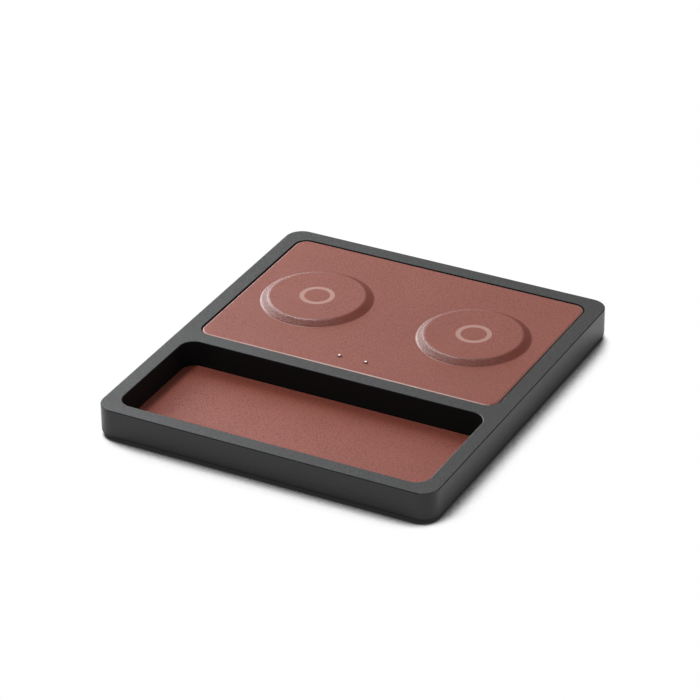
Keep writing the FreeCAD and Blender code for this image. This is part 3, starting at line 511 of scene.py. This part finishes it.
def arc(centre_radius, centre_level, radius, start, end, steps):
    """Stations on an arc in the plane of radius and height, angles in degrees."""
    for step in range(steps + 1):
        angle = math.radians(start + (end - start) * step / steps)
        yield centre_radius + radius * math.cos(angle), centre_level + radius * math.sin(angle)


# ---------------------------------------------------------------- leather

FLANK_ANGLE = math.atan2(PAD_RISE, PAD_BASE_RADIUS - PAD_TOP_RADIUS)
FOOT_RADIUS = 3.0 * MM
FOOT_REACH = FOOT_RADIUS * math.tan(FLANK_ANGLE / 2)
SHOULDER_RADIUS = 3.0 * MM
SHOULDER_REACH = SHOULDER_RADIUS * math.tan(FLANK_ANGLE / 2)
BEND_STEPS = 6
CROWN_SHARE = 0.9
EDGE_RADIUS = 1.2 * MM
EDGE_STEPS = 5
LOWER_EDGE = PANEL_LOW.z + 0.05 * MM
LEATHER_THICKNESS = 1.1 * MM
LINER_EDGE_RADIUS = 0.35 * MM
RING_STEPS = 144
RING_MARGIN = 0.6 * MM

# the holes for the lights: their gap round the pin at the lip, under the lip and at the bottom
HOLE_LIP_GAP = 0.25 * MM
HOLE_NECK_GAP = 0.08 * MM
HOLE_BOTTOM_GAP = 0.05 * MM
HOLE_LIP_DEPTH = 0.2 * MM
HOLE_STEPS = 32


def pad_stations():
    """The pad's section from the flat panel in to the flat top."""
    slope = math.degrees(FLANK_ANGLE)
    top = PANEL_TOP + PAD_RISE
    yield from arc(PAD_BASE_RADIUS + FOOT_REACH, PANEL_TOP + FOOT_RADIUS, FOOT_RADIUS,
                   -90, -90 - slope, BEND_STEPS)
    yield from arc(PAD_TOP_RADIUS - SHOULDER_REACH, top - SHOULDER_RADIUS, SHOULDER_RADIUS,
                   90 - slope, 90, BEND_STEPS)
    yield PAD_TOP_RADIUS * CROWN_SHARE, top


def make_panel_skin(material):
    """The panel's leather: a sheet with two raised pads, holes for the lights and a turned-down edge."""
    bm = bmesh.new()
    inset = Vector((EDGE_RADIUS, EDGE_RADIUS, 0))
    outline = add_rounded_outline(bm, SKIN_LOW + inset, SKIN_HIGH - inset, PANEL_RADIUS - EDGE_RADIUS,
                                  PANEL_TOP)
    start = PAD_BASE_RADIUS + FOOT_REACH + RING_MARGIN
    rings = [add_ring(bm, centre, start, PANEL_TOP, RING_STEPS) for centre in PAD_CENTRES]
    holes = [add_ring(bm, centre, LIGHT_RADIUS + HOLE_LIP_GAP, PANEL_TOP, HOLE_STEPS)
             for centre in LIGHT_CENTRES]
    every = outline + sum(rings, []) + sum(holes, [])
    bmesh.ops.triangle_fill(bm, edges=every, use_beauty=True, normal=(0, 0, 1))
    for centre, ring in zip(PAD_CENTRES, rings):
        crown = extrude_rings(bm, ring, centre, pad_stations())
        bmesh.ops.edgeloop_fill(bm, edges=crown)
    hole_stations = [(LIGHT_RADIUS + HOLE_NECK_GAP, PANEL_TOP - HOLE_LIP_DEPTH),
                     (LIGHT_RADIUS + HOLE_BOTTOM_GAP, PANEL_TOP - LEATHER_THICKNESS)]
    for centre, ring in zip(LIGHT_CENTRES, holes):
        extrude_rings(bm, ring, centre, hole_stations)
    turn_edge_down(bm, outline)
    bmesh.ops.recalc_face_normals(bm, faces=bm.faces)
    piece = add_piece("panel_skin", bm, material, ["panel_leather"])
    thickness = piece.modifiers.new("thickness", "SOLIDIFY")
    thickness.thickness = LEATHER_THICKNESS
    thickness.offset = -1
    drop = PANEL_TOP - PANEL_LOW.z - EDGE_RADIUS
    turned = EDGE_RADIUS * (math.pi / 2 - 1) + drop
    flat = (SKIN_HIGH.x - SKIN_LOW.x + 2 * turned, SKIN_HIGH.y - SKIN_LOW.y + 2 * turned)


def turn_edge_down(bm, edges):
    """Rolls the outline of the panel over a small radius and down to the board's lower edge."""
    middle = (SKIN_LOW + SKIN_HIGH) / 2
    core = (SKIN_HIGH - SKIN_LOW) / 2 - Vector((PANEL_RADIUS, PANEL_RADIUS, 0))

    def outward(vert):
        """Direction away from the nearest point of the outline's inner box."""
        x, y = vert.co.x - middle.x, vert.co.y - middle.y
        return Vector((x - max(-core.x, min(core.x, x)), y - max(-core.y, min(core.y, y)))).normalized()

    quarter = arc(0, PANEL_TOP - EDGE_RADIUS, EDGE_RADIUS, 90, 0, EDGE_STEPS)
    previous = 0.0
    for reach, level in list(quarter)[1:] + [(EDGE_RADIUS, LOWER_EDGE)]:
        made = bmesh.ops.extrude_edge_only(bm, edges=edges)
        edges = only(bmesh.types.BMEdge, made)
        for vert in only(bmesh.types.BMVert, made):
            shift = outward(vert) * (reach - previous)
            vert.co = (vert.co.x + shift.x, vert.co.y + shift.y, level)
        previous = reach


def make_liner(material):
    """The pocket's leather floor, with softly rounded upper edges."""
    bm = bmesh.new()
    outline = add_rounded_outline(bm, LINER_LOW, LINER_HIGH, LINER_RADIUS, LINER_LOW.z)
    made = bmesh.ops.edgeloop_fill(bm, edges=outline)
    raised = only(bmesh.types.BMVert, bmesh.ops.extrude_face_region(bm, geom=made["faces"]))
    bmesh.ops.translate(bm, vec=(0, 0, LINER_HIGH.z - LINER_LOW.z), verts=raised)
    rim = [edge for edge in bm.edges if all(vert.co.z > LINER_LOW.z + CLOSE for vert in edge.verts)]
    bmesh.ops.bevel(bm, geom=rim, offset=LINER_EDGE_RADIUS, segments=4, profile=0.5,
                    affect="EDGES", material=-1)
    bmesh.ops.recalc_face_normals(bm, faces=bm.faces)
    piece = add_piece("liner_skin", bm, material, ["liner_leather"], smooth=False)


# ---------------------------------------------------------------- lights and fasteners

FLANGE_RADIUS = LIGHT_RADIUS + 0.8 * MM
FLANGE_THICKNESS = 0.6 * MM
DOME_HEIGHT = LIGHT_RADIUS * 0.75
DOME_STEPS = 9
PIN_STEPS = 48


def make_light_dome(side, centre, material):
    """One clear light pin: a dome above the leather, a stem and a flange below it."""
    low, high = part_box(f"light_pipe_{side}")
    board_bottom = PANEL_LOW.z
    flange_bottom = board_bottom - FLANGE_THICKNESS
    crown = high.z - DOME_HEIGHT
    stations = [(LIGHT_RADIUS, flange_bottom), (FLANGE_RADIUS, flange_bottom),
                (FLANGE_RADIUS, board_bottom), (LIGHT_RADIUS, board_bottom), (LIGHT_RADIUS, crown)]
    for step in range(1, DOME_STEPS):
        angle = math.pi / 2 * step / DOME_STEPS
        stations.append((LIGHT_RADIUS * math.cos(angle), crown + DOME_HEIGHT * math.sin(angle)))
    bm = bmesh.new()
    bottom = add_ring(bm, centre, LIGHT_RADIUS, low.z, PIN_STEPS)
    top = extrude_rings(bm, bottom, centre, stations)
    bmesh.ops.edgeloop_fill(bm, edges=top)
    bmesh.ops.edgeloop_fill(bm, edges=bottom)
    bmesh.ops.recalc_face_normals(bm, faces=bm.faces)
    add_piece(f"light_dome_{side}", bm, material, [f"light_pipe_{side}"])


FOOT_RIM = 0.5 * MM
FOOT_GROOVE = 0.25 * MM
FOOT_STEPS = 72


def make_feet(material):
    """Rubber feet with a rounded rim, a groove and a shallow dish, bonded under the base."""
    for place in ("front_left", "front_right", "back_left", "back_right"):
        low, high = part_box(f"rubber_foot_{place}")
        centre = middle_of(f"rubber_foot_{place}")
        radius = (high.x - low.x) / 2
        stations = list(arc(radius - FOOT_RIM, low.z + FOOT_RIM, FOOT_RIM, 0, -90, 5))
        stations += [(radius * 0.80, low.z), (radius * 0.78, low.z + FOOT_GROOVE),
                     (radius * 0.73, low.z + FOOT_GROOVE), (radius * 0.71, low.z),
                     (radius * 0.45, low.z + 0.06 * MM), (radius * 0.12, low.z + 0.12 * MM)]
        bm = bmesh.new()
        top = add_ring(bm, centre, radius, high.z, FOOT_STEPS)
        sole = extrude_rings(bm, top, centre, stations)
        bmesh.ops.edgeloop_fill(bm, edges=sole)
        bmesh.ops.edgeloop_fill(bm, edges=top)
        bmesh.ops.recalc_face_normals(bm, faces=bm.faces)
        add_piece(f"foot_{place}", bm, material, [f"rubber_foot_{place}"])


SCREW_STEPS = 72
HEAD_RADIUS = 2.3 * MM
HEAD_LAND = 0.1 * MM
HEAD_CHAMFER = 0.08 * MM
SHANK_RADIUS = 1.1 * MM
TIP_RADIUS = SHANK_RADIUS * 0.8
TIP_LENGTH = 0.25 * MM
DRIVE_RADIUS = 1.15 * MM
DRIVE_DEPTH = 1.0 * MM
DRIVE_LOBES = {"lobes": 6, "lobe_share": 0.13}


def add_screw(bm, centre, low, high):
    """A countersunk screw with its head down and a six-lobed drive in it."""
    tip = add_ring(bm, centre, TIP_RADIUS, high, SCREW_STEPS)
    head = low + HEAD_LAND
    stations = [(SHANK_RADIUS, high - TIP_LENGTH), (SHANK_RADIUS, head + HEAD_RADIUS - SHANK_RADIUS),
                (HEAD_RADIUS, head), (HEAD_RADIUS - HEAD_CHAMFER, low)]
    face = extrude_rings(bm, tip, centre, stations)
    rim = extrude_rings(bm, face, centre, [(DRIVE_RADIUS, low)], **DRIVE_LOBES)
    well = extrude_rings(bm, rim, centre, [(DRIVE_RADIUS * 0.97, low + DRIVE_DEPTH)], **DRIVE_LOBES)
    bmesh.ops.edgeloop_fill(bm, edges=well)
    bmesh.ops.edgeloop_fill(bm, edges=tip)


def screw_places(low):
    """The middles of the CAD screws' heads, in plan, from the lowest points of their mesh."""
    points = frame["nodes"]["base_screws"].data.vertices
    heads = [point.co.to_2d() for point in points if point.co.z < low + CLOSE]
    places = []
    for head in heads:
        if all((head - place).length > 3 * HEAD_RADIUS for place in places):
            across = [other.x for other in heads if (other - head).length < 3 * HEAD_RADIUS]
            along = [other.y for other in heads if (other - head).length < 3 * HEAD_RADIUS]
            places.append(Vector((min(across) + max(across), min(along) + max(along))) / 2)
    return places


def make_screws(material):
    """The screws under the base, one at each of the places where the CAD has one."""
    low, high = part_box("base_screws")
    bm = bmesh.new()
    for centre in screw_places(low.z):
        add_screw(bm, centre, low.z, high.z)
    bmesh.ops.recalc_face_normals(bm, faces=bm.faces)
    add_piece("base_fasteners", bm, material, ["base_screws"], smooth=False)


# ---------------------------------------------------------------- studio

VIEW_AZIMUTH = math.radians(27.904)
VIEW_ELEVATION = math.radians(30.068)
VIEW_ROLL = math.radians(-0.700)
VIEW_DISTANCE = 1.8548
AIM_LEFT = 4.57 * MM
AIM_UP = 1.98 * MM
LENS_MM = 175.6
SENSOR_MM = 36


def make_camera():
    """A long lens from the front right and above, aimed near the middle of the tray."""
    level_right = Vector((math.cos(VIEW_AZIMUTH), math.sin(VIEW_AZIMUTH), 0))
    level_back = Vector((math.sin(VIEW_AZIMUTH), -math.cos(VIEW_AZIMUTH), 0))
    back = math.cos(VIEW_ELEVATION) * level_back + Vector((0, 0, math.sin(VIEW_ELEVATION)))
    level_up = back.cross(level_right)
    right = math.cos(VIEW_ROLL) * level_right + math.sin(VIEW_ROLL) * level_up
    up = math.cos(VIEW_ROLL) * level_up - math.sin(VIEW_ROLL) * level_right
    aim = Vector((0, 0, FRAME_HIGH.z))
    place = aim - AIM_LEFT * right + AIM_UP * up + VIEW_DISTANCE * back
    data = bpy.data.cameras.new("camera")
    data.lens = LENS_MM
    data.sensor_width = SENSOR_MM
    data.clip_start, data.clip_end = 0.05, 50
    camera = bpy.data.objects.new("camera", data)
    bpy.context.collection.objects.link(camera)
    camera.matrix_world = Matrix.Translation(place) @ Matrix((right, up, back)).transposed().to_4x4()
    bpy.context.scene.camera = camera


FLOOR_SIZE = 6
SKY_LEAN = Vector((-0.20, 0.12, 1.0))
CONTACT_SHADE = grey(0.02)
SEEN_RAYS = ("Is Camera Ray", "Is Glossy Ray", "Is Transmission Ray")

# how fast the floor darkens toward the tray, to sight and in reflections: gain and power
SHADOW_REACH = 0.25
SHADOW_FALL = (1.70, 10)
SOFT_FALL = (1.25, 6.5)
SOFT_LEAST = 0.06


def shadow_level(openness, gain, power):
    """1 where the sky is open, falling to 0 where the tray covers it."""
    return (openness * gain).math("MINIMUM", 1.0) ** power


def floor_finish():
    """Grey to light and white to sight, with the shadow where the tray meets the floor. It is
    clear from below and to soft light, so that the base can be seen and is lit."""
    finish = Finish("floor_white", Base_Color=grey(0.1), Roughness=1.0, Specular_IOR_Level=0.0)
    shadow = shadow_level(finish.openness(SHADOW_REACH, SKY_LEAN), *SHADOW_FALL)
    soft_shadow = shadow_level(finish.openness(SHADOW_REACH), *SOFT_FALL)
    soft_shadow = soft_shadow * (1 - SOFT_LEAST) + SOFT_LEAST
    mirrored = finish.rays("Is Glossy Ray")
    level = shadow * (1 - mirrored) + soft_shadow * mirrored
    shown = finish.mixed(level, CONTACT_SHADE, grey(1))
    glow = finish.node("ShaderNodeEmission", None, {"Color": shown, "Strength": 1.0})
    front = finish.blended(finish.rays(*SEEN_RAYS), finish.surface, glow)
    from_below = finish.signal("ShaderNodeNewGeometry", "Backfacing")
    unseen = from_below.math("MAXIMUM", finish.rays("Is Diffuse Ray"))
    finish.show(finish.blended(unseen, front, finish.node("ShaderNodeBsdfTransparent")))
    return finish.material


def make_floor():
    """A large level floor under the feet."""
    bm = bmesh.new()
    bmesh.ops.create_grid(bm, x_segments=1, y_segments=1, size=FLOOR_SIZE)
    mesh = bpy.data.meshes.new("floor")
    bm.to_mesh(mesh)
    bm.free()
    floor = bpy.data.objects.new("floor", mesh)
    bpy.context.collection.objects.link(floor)
    mesh.materials.append(floor_finish())


# each soft lamp: name, place, width and height, power; all of them face the tray
LAMP_COLOUR = (0.95, 0.975, 1.0)
LAMPS = [
    ("key", (-1.168, 0.595, 0.592), (1.0, 0.85), 15),
    ("overhead", (-0.45, -0.60, 0.90), (0.2, 0.2), 5),
    ("rim_light", (-0.76, 0.93, 0.09), (0.3, 0.12), 0.4),
    ("edge_light", (-0.51, 0.51, 0.96), (0.35, 0.45), 2.8),
]


def add_softbox(name, place, size, power):
    """A rectangular soft lamp that faces the tray."""
    data = bpy.data.lights.new(name, "AREA")
    data.color = LAMP_COLOUR
    data.shape = "RECTANGLE"
    data.size, data.size_y = size
    data.energy = power
    lamp = bpy.data.objects.new(name, data)
    bpy.context.collection.objects.link(lamp)
    lamp.location = place
    lamp.rotation_euler = (-Vector(place)).to_track_quat("-Z", "Y").to_euler()


SKY_STRENGTH = 0.18


def make_world():
    """Even white surroundings that light the tray softly and are plain white to sight and in reflections."""
    world = bpy.data.worlds.new("surroundings")
    bpy.context.scene.world = world
    world.use_nodes = True
    sky = Nodes(world.node_tree)
    strength = sky.rays(*SEEN_RAYS) * (1 - SKY_STRENGTH) + SKY_STRENGTH
    background = sky.tree.nodes["Background"]
    sky.feed(background.inputs["Color"], grey(1))
    sky.feed(background.inputs["Strength"], strength)


# ---------------------------------------------------------------- assembly

def finish_nodes(finishes):
    """Gives every CAD node the finish of its slot."""
    for part in frame["record"]["subparts"]:
        mesh = frame["nodes"][part["node"]].data
        mesh.materials.clear()
        mesh.materials.append(finishes[part["material_slot"]])


finishes = make_finishes()
finish_nodes(finishes)
make_panel_skin(leather("panel_leather", PANEL_TOP, SKIN_LOW.y, PANEL_COLOUR, 0.36, PAD_CENTRES))
make_liner(finishes["leather"])
for side, centre in zip(SIDES, LIGHT_CENTRES):
    make_light_dome(side, centre, finishes["clear_plastic"])
make_feet(finishes["foot_rubber"])
make_screws(finishes["screw_steel"])

make_floor()
make_world()
for name, place, size, power in LAMPS:
    add_softbox(name, place, size, power)
make_camera()

scene = bpy.context.scene
scene.view_settings.view_transform = "Standard"
